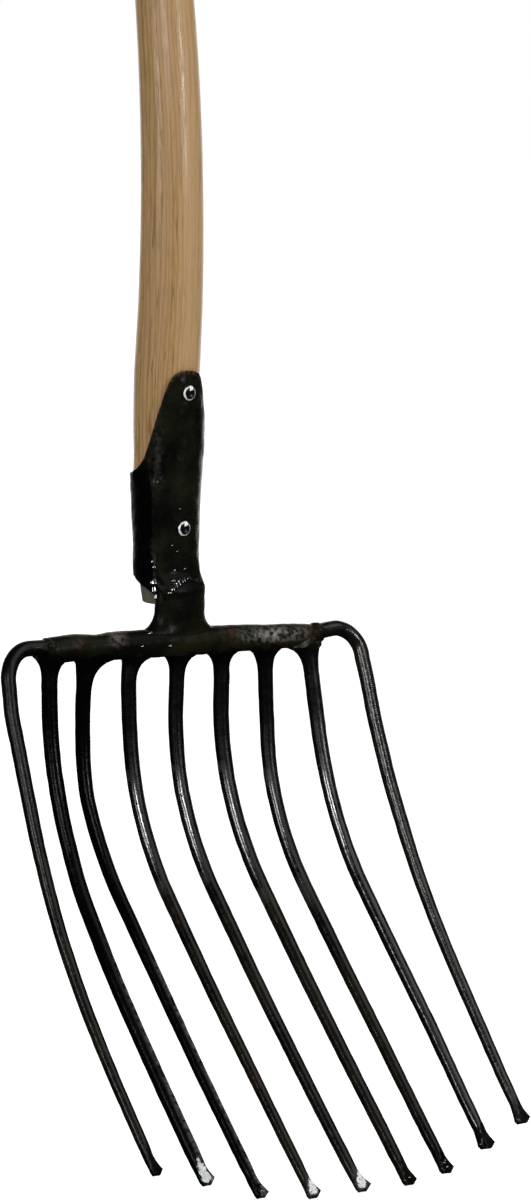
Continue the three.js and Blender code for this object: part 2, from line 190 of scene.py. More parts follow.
# Crossbar: one round bar of forged carbon steel, a little lumpy from the hammer and thinner to the
# right, dipped in black lacquer with the whole head, with a painted grey sheen for a lamp's
# reflection on the upper front of its right half and a faint painted pale spot on its left half.
def srgb(code):
    """A colour written as on a web page, as the linear light that the shaders work in."""
    shares = [int(code[place:place + 2], 16) / 255 for place in (1, 3, 5)]
    return tuple(s / 12.92 if s <= 0.04045 else ((s + 0.055) / 1.055) ** 2.4 for s in shares) + (1,)


def mm(*sizes):
    """One size in millimetres, or a vector of three, in metres."""
    return sizes[0] / 1000 if len(sizes) == 1 else Vector(sizes) / 1000


def lacquered_steel(name, roughness, shine, pebbles, casts):
    # Carbon steel, hammered hot and dipped in black lacquer: near black with a green and a brown
    # cast, with shallow hammer marks 9 mm across and a pebbled skin 1.6 mm across. Attributes say
    # where it is darkened to black and dulled (painted shade on the socket's wing), where it is worn to
    # rust, where it has a painted speckled grey sheen for a lamp's reflection, and where it is worn to a
    # burnished skin or to bare steel with black pits left in it.
    steel = bpy.data.materials.new(name)
    tree = new_tree(steel)
    place = add_node(tree, "TexCoord").outputs["Object"]
    green = add_node(tree, "TexNoise", {"Vector": place, "Scale": 1 / mm(28), "Detail": 3.0})
    brown = add_node(tree, "TexNoise", {"Vector": place, "Scale": 1 / mm(47), "Detail": 4.0})
    grain = add_node(tree, "TexNoise", {"Vector": place, "Scale": 1 / mm(3), "Detail": 3.0})
    greener = add_node(tree, "MapRange", {
        "Value": green.outputs["Fac"], "From Min": 0.42, "From Max": 0.62,
    })
    browner = add_node(tree, "MapRange", {
        "Value": brown.outputs["Fac"], "From Min": 0.5, "From Max": 0.68,
    })
    cast = add_node(tree, "Mix", {
        0: greener.outputs[0], 6: srgb(casts[0]), 7: srgb(casts[1]),
    }, data_type="RGBA")
    cast = add_node(tree, "Mix", {
        0: browner.outputs[0], 6: cast.outputs[2], 7: srgb(casts[2]),
    }, data_type="RGBA")
    specks = add_node(tree, "MapRange", {"Value": grain.outputs["Fac"], "From Min": 0.4, "From Max": 0.6})
    # Painted shade: this attribute mixes the colour towards black on the socket's wing, which faces away
    # from the light; on the tines it darkens the upper parts and the ends.
    darkened = add_node(tree, "Attribute", attribute_name="darkened_dull")
    cast = add_node(tree, "Mix", {
        0: darkened.outputs["Fac"], 6: cast.outputs[2], 7: srgb("#010101"),
    }, data_type="RGBA")
    # Rust is the steel's own colour; the grey is a painted sheen, speckled, that stands for a lamp's
    # reflection on the crossbar, the socket and the lower tines 2 and 3.
    for attribute, code in (("rusty", "#452d27"), ("painted_sheen", "#86867e")):
        marked = add_node(tree, "Attribute", attribute_name=attribute)
        share = add_node(tree, "Math", {0: marked.outputs["Fac"], 1: specks.outputs[0]}, operation="MULTIPLY")
        cast = add_node(tree, "Mix", {
            0: share.outputs[0], 6: cast.outputs[2], 7: srgb(code),
        }, data_type="RGBA")
    pits = add_node(tree, "TexNoise", {"Vector": place, "Scale": 1 / mm(1.5), "Detail": 2.0})
    bare = add_node(tree, "Attribute", attribute_name="bare").outputs["Fac"]
    pitted = add_node(tree, "Math", {0: pits.outputs["Fac"], 1: 1.6, 2: bare}, operation="MULTIPLY_ADD")
    stripped = add_node(tree, "MapRange", {"Value": pitted.outputs[0], "From Min": 1.46, "From Max": 1.66})
    burnished = add_node(tree, "Attribute", attribute_name="burnished").outputs["Fac"]
    bright = add_node(tree, "Math", {
        0: burnished, 1: 0.3, 2: stripped.outputs[0],
    }, operation="MULTIPLY_ADD", use_clamp=True)
    cast = add_node(tree, "Mix", {
        0: bright.outputs[0], 6: cast.outputs[2], 7: srgb("#e0e3e4"),
    }, data_type="RGBA")
    metal = add_node(tree, "MapRange", {"Value": bright.outputs[0], "From Max": 0.1})
    gloss = add_node(tree, "MapRange", {
        "Value": grain.outputs["Fac"], "From Min": 0.3, "From Max": 0.7,
        "To Min": roughness - 0.07, "To Max": roughness + 0.07,
    })
    gloss = add_node(tree, "Math", {
        0: darkened.outputs["Fac"], 1: 0.14, 2: gloss.outputs[0],
    }, operation="MULTIPLY_ADD")
    hammered = add_node(tree, "TexNoise", {"Vector": place, "Scale": 1 / mm(9), "Detail": 2.0})
    pebbled = add_node(tree, "TexNoise", {"Vector": place, "Scale": 1 / mm(1.6), "Detail": 2.0})
    dents = add_node(tree, "Bump", {
        "Height": hammered.outputs["Fac"], "Distance": mm(1.2), "Strength": 0.3,
    })
    skin = add_node(tree, "Bump", {
        "Height": pebbled.outputs["Fac"], "Distance": mm(0.35), "Strength": pebbles,
        "Normal": dents.outputs[0],
    })
    finish = add_node(tree, "BsdfPrincipled", {
        "Base Color": cast.outputs[2], "Metallic": metal.outputs[0], "Roughness": gloss.outputs[0],
        "Specular IOR Level": shine, "Normal": skin.outputs[0],
    })
    add_node(tree, "OutputMaterial", {"Surface": finish.outputs[0]})
    return steel


def section(centre, across, through):
    """Where a ring lies, as the matrix that takes a flat unit circle to it."""
    matrix = Matrix((across, through, across.cross(through).normalized())).transposed().to_4x4()
    matrix.translation = centre
    return matrix


def draw_out(sections, sides):
    """A bar drawn out from one section to the next, and closed at both ends."""
    bar = bmesh.new()
    bmesh.ops.create_circle(bar, cap_ends=True, segments=sides, radius=1, matrix=sections[0])
    edges = bar.edges[:]
    for before, after in zip(sections, sections[1:]):
        grown = bmesh.ops.extrude_edge_only(bar, edges=edges)["geom"]
        corners = [part for part in grown if isinstance(part, bmesh.types.BMVert)]
        edges = [part for part in grown if isinstance(part, bmesh.types.BMEdge) and part.is_boundary]
        bmesh.ops.transform(bar, matrix=after @ before.inverted(), verts=corners)
    bmesh.ops.contextual_create(bar, geom=edges)
    bmesh.ops.recalc_face_normals(bar, faces=bar.faces)
    return bar


def finish_piece(shape, name, material, slot, *nodes, crease=35):
    """Turns a shape into a piece that rides on the fork and stands for its nodes."""
    for face in shape.faces:
        face.smooth = True
    for edge in shape.edges:
        edge.smooth = len(edge.link_faces) < 2 or edge.calc_face_angle(0) < math.radians(crease)
    piece = bpy.data.objects.new(name, bpy.data.meshes.new(name))
    shape.to_mesh(piece.data)
    shape.free()
    piece.data.materials.append(material)
    bpy.context.scene.collection.objects.link(piece)
    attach(piece, "root")
    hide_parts(*nodes)
    return piece


def paint(shape, name, share_at):
    """Keeps how much of a finish each point has, as an attribute of the mesh."""
    layer = shape.verts.layers.float.new(name)
    for corner in shape.verts:
        corner[layer] = min(1, max(0, share_at(corner.co)))


def spot(middle, reach):
    """How strong a soft round spot is at a place: 1.6 at its middle, 0 past its reach in mm."""
    return lambda at: max(0, 1 - (at - mm(*middle)).length / mm(reach)) * 1.6


def stir(shape, size, depth):
    """Moves a surface in and out a little, as a hammer leaves it, with lumps of one size."""
    shape.normal_update()
    for corner in shape.verts:
        corner.co += corner.normal * noise.noise(corner.co / size) * depth


# What lies flat towards the upper left, where it shines at a person who stands there
upper_left = Vector((-0.62, -0.73, 0.28)).to_track_quat("Y", "Z")


def add_drops(shape, drops):
    """Drops of metal under thick shining lacquer, each with its place and its two half sizes."""
    layers = shape.verts.layers.float
    layer = layers.get("burnished") or layers.new("burnished")
    for place, wide, tall in drops:
        turned = Matrix.LocRotScale(place, upper_left, mm(wide, 0.25 * wide + 0.3, tall))
        for corner in bmesh.ops.create_icosphere(shape, subdivisions=3, radius=1, matrix=turned)["verts"]:
            corner[layer] = 1
            for face in corner.link_faces:
                face.material_index = 1


forged = lacquered_steel("lacquered_forged_steel", 0.32, 0.1, 0.4, ("#080805", "#16170b", "#1c160d"))

# Each row: a place along the bar, and how far its middle lies up and its radius there
bar_forms = (
    (-101.3, 0.0, 5.6), (-100, 0.0, 7.2), (-97, -0.1, 8.0), (-88, 0.3, 8.4), (-80, 0.8, 8.5),
    (-72, 0.5, 8.4), (-64, 0.0, 8.2), (-58, 0.1, 8.3), (-54, 0.3, 8.9), (-38, 0.6, 8.9),
    (-26, 0.5, 9.0), (0, 0.4, 9.0), (31, 0.6, 8.8), (44, 0.6, 8.7), (57, 0.4, 8.3),
    (70, 0.2, 8.1), (85, 0.1, 7.9), (96, -0.2, 7.7), (103, -0.6, 7.3), (106.5, -0.8, 6.2),
    (107.6, -0.8, 4.8),
)


def ramp(value, low, high):
    """0 before the first limit, 1 past the second, and even in between."""
    return min(1, max(0, (value - low) / (high - low)))


def between(table, place):
    """The row of a table at a place between its rows, the first column being the place."""
    for low, high in zip(table, table[1:]):
        if place <= high[0]:
            share = max(0, (place - low[0]) / (high[0] - low[0]))
            return [a + (b - a) * share for a, b in zip(low, high)]
    return list(table[-1])


def bar_section(x):
    rise, radius = between(bar_forms, x)[1:]
    return section(mm(x, 0, rise), Vector((0, mm(radius), 0)), Vector((0, 0, mm(radius))))


ends = [form[0] for form in bar_forms]
first_place, place_step, place_count = -94.0, 2.5, 79
bar_places = ends[:3] + [first_place + place_step * step for step in range(place_count)] + ends[-3:]
crossbar = draw_out([bar_section(x) for x in bar_places], sides=32)
stir(crossbar, mm(7), mm(0.35))
rust = [spot((34, -5, 7), 10), spot((95, -5, 6), 7), spot((-51, -5, 6), 8), spot((-80, -6, 5), 7)]
paint(crossbar, "rusty", lambda at: 0.5 * sum(share(at) for share in rust))


def painted_sheen_at(at):
    """How strong the painted grey sheen is on the upper front of the bar's right half, for a lamp's
    reflection.
    """
    return ramp(mm(32) - abs(at.x - mm(68)), 0, mm(32)) * ramp(mm(6) - abs(at.z - mm(3)), 0, mm(6))


# Painted sheen: a faint pale spot on the bar's left half, added to the same grey sheen.
pale = spot((-51, -4, 7), 9)
paint(crossbar, "painted_sheen", lambda at: painted_sheen_at(at) + 0.22 * pale(at))
add_drops(crossbar, [
    (mm(-13, -9.0, -0.2), 1.2, 1.2), (mm(-34.2, -9.0, 0.4), 1.1, 1.1), (mm(-26.4, -5.6, 7.8), 1.9, 1.7),
])
crossbar = finish_piece(crossbar, "forged_crossbar", forged, "lacquered_steel", "crossbar", crease=50)
shining = lacquered_steel("thick_lacquer_on_weld", 0.16, 0.8, 0.15, ("#060705", "#15170b", "#14110a"))
crossbar.data.materials.append(shining)


# Inner tines: seven tapered round rods of the same steel, drawn out under the hammer. Each widens
# into the crossbar in a hollow fillet that is different on its two sides, sweeps forward and ends
# in a small flattened spade.
def ease(share):
    """A share from 0 to 1 that starts and stops gently."""
    return share * share * (3 - 2 * share)


def hollow(distance, height):
    """How far a hollow fillet still reaches out at a distance below its top, as a share."""
    rise = 1 - ramp(distance, 0, height)
    return 1 - math.sqrt(max(0, 1 - rise * rise))


def down(lean, splay):
    """The direction down a rod that leans forward and splays to the right, in degrees."""
    lean, splay = math.radians(lean), math.radians(splay)
    return Vector((math.sin(splay), -math.cos(splay) * math.sin(lean), -math.cos(splay) * math.cos(lean)))


def front_of(lean):
    """The direction that the front of a rod faces, which leans forward in degrees."""
    return Vector((0, -math.cos(math.radians(lean)), math.sin(math.radians(lean))))


def tine_places(fine_to, length, step):
    """Distances down a tine, close together in the root's fillet and in the spade."""
    places = [fine_to * k / 12 for k in range(13)]
    spade_from = length - mm(18)
    count = math.ceil((spade_from - fine_to) / step)
    places += [fine_to + (spade_from - fine_to) * k / count for k in range(1, count + 1)]
    places += [length - mm(left) for left in (16, 14, 12, 10.5, 9, 7.5, 6, 5, 4, 3.4, 2.6, 1.8, 0.9, 0)]
    return places


def rod_radius(distance, length, root, end):
    return root + (end - root) * distance / length


def spade_halves(left, radius, flare, width):
    """How far the end reaches to its left and its right, a distance before its edge.

    The rod narrows to 86 percent 9 mm before the edge, spreads from there and loses its corners.
    """
    waist = radius * (1 - 0.14 * (1 - ramp(left, mm(9), mm(24))))
    spread = (1 - ramp(left, mm(3.4), mm(12))) ** 1.6
    lefts = waist + mm(flare) * (1 - ramp(left, 0, mm(15))) ** 1.3
    rights = waist + (mm(width) - radius - waist) * spread
    return lefts * (0.7 + 0.3 * ramp(left, 0, mm(2.6))), rights * (0.45 + 0.55 * ramp(left, 0, mm(3.4)))


def hammer_flat(shape, centre, normal, reach):
    """Presses what stands over a plane down to it near the end of a tine."""
    for corner in shape.verts:
        over = (corner.co - centre).dot(normal)
        if over > 0 and (corner.co - centre).length < reach:
            corner.co -= normal * over


def make_tine(name, node, line, length, halves, facets, steel, bare, drops, finishes, sides=28):
    """Sweeps a tine along its line, then flattens the front and the back of its end.

    Each facet of the end is a half thickness in millimetres, and a slope and a twist in degrees.
    """
    sections = []
    for point, lean, splay, distance in line:
        front = front_of(lean)
        across = front.cross(down(lean, splay))
        width, depth, shift = halves(distance)
        sections.append(section(point + Vector((shift, 0, 0)), across * width, front * depth))
    tine = draw_out(sections, sides)
    point, lean, splay, _ = line[-1]
    along = down(lean, splay)
    front = front_of(lean)
    across = front.cross(along)
    flattened = mm(30)
    for side, thickness, slope, twist in ((-1, *facets[1]), (1, *facets[0])):
        slope, twist = math.radians(slope), math.radians(twist)
        normal = (front * side * math.cos(slope) + along * math.sin(slope)).normalized()
        normal = (normal + across * math.tan(twist)).normalized()
        hammer_flat(tine, point + front * side * mm(thickness), normal, flattened)
    soft_edge = mm(0.6)
    layers = [tine.verts.layers.float.new(layer) for layer in ("bare", "darkened_dull", "painted_sheen", "burnished")]
    tine.verts.ensure_lookup_table()
    for corner in tine.verts:
        middle, _, _, distance = line[corner.index // sides]
        out = (corner.co - middle).normalized()
        for right_by, up_by, reach in bare:
            away = corner.co - point - across * mm(right_by) + along * mm(up_by)
            near = ramp(mm(reach) - (away - front * away.dot(front)).length, 0, soft_edge)
            corner[layers[0]] = max(corner[layers[0]], near if out.dot(front) > 0 else 0)
        for layer, amount in zip(layers[1:], finishes(distance / length, out.dot(across))):
            corner[layer] = amount
    stir(tine, mm(6), mm(0.22))
    placed = []
    for right_by, up_by, size in drops:
        on_facet = 1.1 + 0.16 * up_by - 0.2 * right_by
        place = point + across * mm(right_by) - along * mm(up_by) + front * mm(on_facet)
        placed.append((place, size, size))
    add_drops(tine, placed)
    tine = finish_piece(tine, name, steel, "lacquered_steel", node, crease=30)
    if drops:
        tine.data.materials.append(shining)


def trace(start, places, lean_at, splay_at):
    """Points down the steel with their lean and splay, from a start and a direction at each place."""
    points, point, before = [], Vector(start), places[0]
    for place in places:
        middle = (before + place) / 2
        point = point + down(lean_at(middle), splay_at(middle)) * (place - before)
        points.append((point.copy(), lean_at(place), splay_at(place), place))
        before = place
    return points


# How far each tine strays sideways at these shares of its length, in millimetres
stray_shares = (0.06, 0.14, 0.24, 0.35, 0.45, 0.6, 0.75, 0.9)
strays = (
    (-1.2, 0.2, 1.3, 1.5, 1.4, 1.4, 1.2, 1.7), (-0.8, 0, 1.1, 1.5, 0.1, -0.8, 0, 0.8),
    (1.4, 0.7, -1, 0.6, 0.8, 0.5, 0.1, 0.4), (-0.9, 0.4, 0.3, 0.6, 0.3, -0.1, 0.4, 0.4),
    (0.6, 0.3, 0, 0.6, 0.6, 0.1, 0.3, 0.2), (0.5, 0.1, 0.1, 0.7, 0.6, 0, 0.2, 0.7),
    (-0.6, 1.2, 0, 0.1, 0, 0.2, 0.7, 0.1), (-1.2, 0.8, 0.9, 0.3, -0.6, 0, 1, 0.3),
    (-0.5, -1.9, -1.8, -1.2, -1.1, -0.7, -1.1, -2),
)


def stray(number, share):
    row = strays[number - 1]
    return mm(between([(0, 0), *zip(stray_shares, row), (1, row[-1])], share)[1])


# Each row: the tine's number, its root's place along the bar, its length, its leans at the root,
# after the bend and at the tip, its splays at the root and the tip, then the fillet's width, height
# and depth below the bar's middle on the left and on the right, the diameters at the root and the
# end, how far the spade flares on its left, and the spade's width
inner_tines = (
    (2, -96.3, 360, (6.5, 42, 44), (-2.8, 1.9), (8.5, 15, 4), (5, 11, 8), (10.3, 8.8), 0.3, 11.0),
    (3, -72.7, 380, (0, 44.5, 47), (1.1, 0.2), (1.5, 3, 8), (21, 19, 8), (10.0, 6.9), 0.5, 11.4),
    (4, -36.7, 385, (0, 44.5, 47), (0.8, 0.7), (2, 3, 8), (12, 13, 8), (10.1, 6.8), 1.4, 10.4),
    (5, -1.4, 385.5, (0, 44.5, 47), (0.4, 1.4), (6, 12, 8), (11, 14, 8), (9.9, 7.5), 0.3, 12.0),
    (6, 32.5, 385.5, (0, 44.5, 47), (2.1, 0.2), (7, 13, 8), (8, 11, 8), (10.5, 7.8), 1.2, 11.4),
    (7, 68.4, 381, (0, 44.5, 47), (0.7, 0.4), (9, 19, 8), (6, 11, 8), (9.9, 7.5), 1.8, 10.8),
    (8, 102.6, 361.5, (6.5, 42, 44), (2.4, 0.9), (13, 17, 8), (7, 14, 2), (10.2, 7.8), 4.0, 11.2),
)
straight, bend, ring_step = mm(36), mm(126), mm(6)

# Where the front of each end is bare: how far right of its middle and up from its edge, and how wide
bare_spots = {
    2: [(0.6, 4.2, 3.6), (0.3, 6.8, 3.4), (0, 9.4, 3.2), (-0.2, 12, 2.8), (-0.3, 15, 2.0)],
    4: [
        (0.7, 4.0, 3.3), (1.3, 6.4, 3.2), (1.8, 8.8, 2.9), (2.4, 11.4, 2.4), (2.9, 14, 2.0),
        (3.2, 17, 1.6),
    ],
    5: [
        (1.0, 4.2, 3.5), (1.5, 6.6, 3.3), (2.0, 9, 2.9), (2.6, 11.6, 2.4), (3.1, 14, 2.1),
        (3.6, 17, 1.7),
    ],
}

# The same for drops on the other ends, with their half sizes
end_drops = {
    3: [(2.2, 3.6, 1.1)],
    6: [(1.2, 3.6, 1.2)],
    7: [(0.6, 2.8, 1.2), (-0.6, 5.6, 1.1), (0.9, 7.4, 0.8)],
}


def inner_halves(number, length, diameters, left, right, flare, spade):
    def halves(distance):
        radius = rod_radius(distance, length, mm(diameters[0]) / 2, mm(diameters[1]) / 2)
        lefts, rights = spade_halves(length - distance, radius, flare, spade)
        lefts += hollow(distance - mm(left[2]), mm(left[1])) * mm(left[0])
        rights += hollow(distance - mm(right[2]), mm(right[1])) * mm(right[0])
        depth = radius + hollow(distance - mm(8), mm(9)) * mm(2.6)
        return (lefts + rights) / 2, depth, (rights - lefts) / 2 + stray(number, distance / length)
    return halves


# How far a tine is darkened and dulled, how strong its painted grey sheen is and how far it is
# burnished at a share of its length, which also depends on how far to the right the place faces
def burnished_bend(amount, high, low):
    def finish(share, facing):
        later = 0.1 * ramp(facing, -0.5, -0.25)
        bright = ramp(share, high, high + 0.04) * (1 - ramp(share, low, low + 0.08))
        bright *= ramp(-facing, 0.3, 0.5)
        return 1 - ramp(share, high - 0.01 + later, high + 0.04 + later), 0, amount * bright
    return finish


def dull_to_a_line(share, facing):
    line_start, line_end = 0.235, 0.25
    bright = ramp(share, line_start, line_end) * (1 - 0.55 * ramp(share, 0.4, 0.46))
    bright *= ramp(-facing, 0.4, 0.6)
    later = 0.06 * ramp(facing, -0.5, -0.25)
    return 0.9 - 0.9 * ramp(share, line_start + later, line_end + later), 0, bright


# Painted sheen on tines 2 and 3: grey on the lower right half, for a soft reflection there.
def painted_sheen_below(share, facing):
    return 0.3, 0.4 * ramp(share, 0.5, 0.62) * ramp(facing, -0.2, 0.4), 0


def darkened_dull_on_top(share, facing):
    return 0.8 - 0.8 * ramp(share, 0.3, 0.45) + ramp(share, 0.93, 0.96), 0, 0


def darkened_dull_on_end(share, facing):
    return ramp(share, 0.93, 0.96), 0, 0


inner_finishes = {
    2: painted_sheen_below, 3: painted_sheen_below, 4: burnished_bend(1, 0.21, 0.34), 5: burnished_bend(1, 0.2, 0.33),
    6: burnished_bend(0.7, 0.2, 0.38), 7: burnished_bend(0.4, 0.22, 0.4), 8: dull_to_a_line,
}
glossy = lacquered_steel("glossy_lacquered_steel", 0.2, 0.8, 0.15, ("#060606", "#13150a", "#1a120d"))
pebbly = lacquered_steel("pebbly_lacquered_steel", 0.24, 0.8, 0.5, ("#060606", "#13150a", "#1a120d"))
satin = lacquered_steel("satin_lacquered_steel", 0.22, 0.36, 0.2, ("#040404", "#13150a", "#1a120d"))
# Painted shade: a darker copy of the lacquer with near-black casts, for where less light falls (tines 2 and
# 3, and the socket's left wing).
shade_black = lacquered_steel("shade_black_lacquered_steel", 0.2, 0.14, 0.3, ("#020202", "#040403", "#060403"))
for number, root, length, leans, splays, left, right_side, diameters, flare, spade in inner_tines:
    length = mm(length)

    def lean_at(distance):
        bent = leans[0] + (leans[1] - leans[0]) * ramp(distance, straight, straight + bend)
        return bent + (leans[2] - leans[1]) * ramp(distance, straight + bend, length)

    def splay_at(distance):
        return splays[0] + (splays[1] - splays[0]) * distance / length

    places = tine_places(mm(29), length, ring_step)
    line = trace(mm(root, 0, 0), places, lean_at, splay_at)
    facets = ((1.2, 9, -14 if number in (2, 4, 5) else 12), (1.3, 6, 0))
    halves = inner_halves(number, length, diameters, left, right_side, flare, spade)
    # Tines 2 and 3 take the near-black copy of the lacquer, which is painted shade for the light falling
    # off to the left.
    make_tine(
        f"forged_tine_{number}", f"tine_{number}", line, length, halves, facets,
        shade_black if number < 4 else glossy if number == 8 else satin, bare_spots.get(number, []),
        end_drops.get(number, []), inner_finishes[number],
    )


# Outermost tines: two rods of their own, bent round from the ends of the crossbar. They leave it
# level, a little above its middle on the right, turn down round a corner and sweep forward. The left
# corner is sharp at its top and eases off below.

# Each row: the tine's number, the bar's end, the root's place and its rise, the splay of the level
# stretch, the splays at the root and the tip, the spade's flare and width, the diameters, and the
# corner's length along the rod, how far it drops and how early it turns, as a power
outer_tines = (
    (1, -101.3, -130.5, 1.9, 90, (-3.3, 2.0), 0.3, 10.0, (9.9, 6.7), 32.0, 23.5, 0.72),
    (9, 107.6, 137.2, 1.2, 97, (1.7, 0.6), 3.8, 10.0, (10.2, 7.0), 28.3, 17.0, 1.0),
)
corner_radius, sunk, mean_rise, below = 17, 4, 1.9, mm(344)
root_lean, bent_lean, tip_lean = 24, 41, 43
bend_from, bend_to = mm(84), mm(84 + 152)
for row in outer_tines:
    number, bar_end, root, rise, level_splay, splays, flare, spade, diameters, corner, drop, haste = row
    side = math.copysign(1, root)
    run = abs(root - bar_end) - corner_radius + sunk
    above = mm(run + corner - drop + mean_rise)
    length = above + below
    run, corner = mm(run), mm(corner)

    def lean_at(distance):
        bent = root_lean + (bent_lean - root_lean) * ramp(distance - above, bend_from, bend_to)
        return bent + (tip_lean - bent_lean) * ramp(distance - above, bend_to, below)

    def splay_at(distance):
        turned = side * level_splay
        turned += (splays[0] - turned) * ramp(distance, run, run + corner) ** haste
        return turned + (splays[1] - splays[0]) * ramp(distance, run + corner, length)

    def outer_halves(distance):
        radius = rod_radius(distance, length, mm(diameters[0]) / 2, mm(diameters[1]) / 2)
        lefts, rights = spade_halves(length - distance, radius, flare, spade)
        share = (distance - run - corner) / (length - run - corner)
        return (lefts + rights) / 2, radius, (rights - lefts) / 2 + stray(number, share)

    places = [run * k / 4 for k in range(4)] + [run + corner * k / 12 for k in range(12)]
    places += [place + run + corner for place in tine_places(mm(12), length - run - corner, ring_step)]
    line = trace(mm(bar_end - side * sunk, 0, rise), places, lean_at, splay_at)
    facets = ((1.2, 7, 12), (1.3, 6, 0))
    make_tine(
        f"bent_tine_{number}", f"tine_{number}", line, length, outer_halves, facets,
        satin if number == 1 else pebbly, [], [], darkened_dull_on_top if number == 1 else darkened_dull_on_end,
    )


# Welds at the crossbar's ends: lumps of weld metal, run over the joint where each bent rod goes in,
# and dipped in the same lacquer.
def weld_run(name, node, dots):
    """Overlapping drops of metal along a joint, each with its place and its three half sizes."""
    run = bmesh.new()
    for place, size in dots:
        bmesh.ops.create_icosphere(
            run, subdivisions=3, radius=1,
            matrix=Matrix.LocRotScale(mm(*place), None, mm(*size)),
        )
    stir(run, mm(3), mm(0.5))
    paint(run, "rusty", lambda at: 0.15)
    finish_piece(run, name, forged, "lacquered_steel", node, crease=80)


weld_run("left_end_weld", "outer_weld_left", [
    ((-99.0, 0, 5.4), (3.0, 4.4, 2.7)), ((-102.5, -2.6, 1.0), (3.6, 3.4, 4.2)),
    ((-103, 2.4, 1.2), (3.6, 3.4, 4.2)), ((-104.5, 0, -2.6), (5.5, 3.6, 3.0)),
    ((-99, -5.5, 3.5), (3.0, 2.6, 3.0)),
])
weld_run("right_end_weld", "outer_weld_right", [
    ((106.5, 0, 5.4), (4.4, 4.4, 2.4)), ((107, -3.4, 2.0), (4.0, 3.0, 4.2)),
    ((107, 3.0, 2.0), (4.0, 3.0, 4.2)), ((108.5, 0, -1.8), (4.5, 3.8, 3.2)),
    ((102.5, -6.4, 1.5), (4.2, 1.8, 3.0)), ((99.5, -6.6, -2.0), (3.4, 1.8, 3.4)),
    ((103.5, -6.0, -5.0), (3.4, 1.8, 3.2)),
])


# Handle: one pole of ash, shaved thin to a foot inside the socket, steamed and bent backwards above
# it, planed and waxed. The foot shows under the socket's left wing.
wood_front, mouth_radius, mouth_height = 3, 20.6, 175
shaved_off, shaved_length = 6.6, 152.5


def wood_radius(z):
    return mouth_radius - shaved_off * ramp(mouth_height - z, 0, shaved_length) ** 3


def up_pole(lean):
    """The direction up a pole that leans backwards, in degrees."""
    return Vector((0, math.sin(math.radians(lean)), math.cos(math.radians(lean))))


def handle_rings():
    """Sections up the pole with the height of each on the straight pole, all in millimetres."""
    bend_start, bend_length, bend_angle = 205, 279.25, 16
    upper_radius, upper_taper, taper_end = 17.5, 3.1, 490
    end, rounding, foot, bevel = 1122, 8, 23.4, 0.6
    sways = ((100, 0), (110, 0.6), (118, 0.6), (130, 0.1), (152, -0.5), (166, -0.7), (180, -0.4))
    rings = []
    for z in [foot, foot + 0.5] + [24 + 6.3 * step for step in range(1, 25)]:
        centre = Vector((between(sways, z)[1], wood_front + wood_radius(z), z))
        rings.append((centre, 0.0, wood_radius(z) - (bevel if z == foot else 0), z))
    centre = Vector((0, wood_front + mouth_radius, bend_start))
    height, lean = float(bend_start), 0.0
    while height < end - rounding:
        radius = mouth_radius - upper_taper * ramp(height, mouth_height, taper_end)
        rings.append((centre.copy(), lean, radius, height))
        left = end - rounding - height
        step = min(9.0, left) if left > 0.5 else 0.5
        lean = bend_angle * ramp(height + step / 2, bend_start, bend_start + bend_length)
        centre = centre + up_pole(lean) * step
        height += step
        lean = bend_angle * ramp(height, bend_start, bend_start + bend_length)
    for angle in (0, 15, 30, 45, 60, 75, 90):
        rise = rounding * math.sin(math.radians(angle))
        radius = upper_radius - rounding * (1 - math.cos(math.radians(angle)))
        rings.append((centre + up_pole(lean) * rise, lean, radius, end - rounding + rise))
    return rings


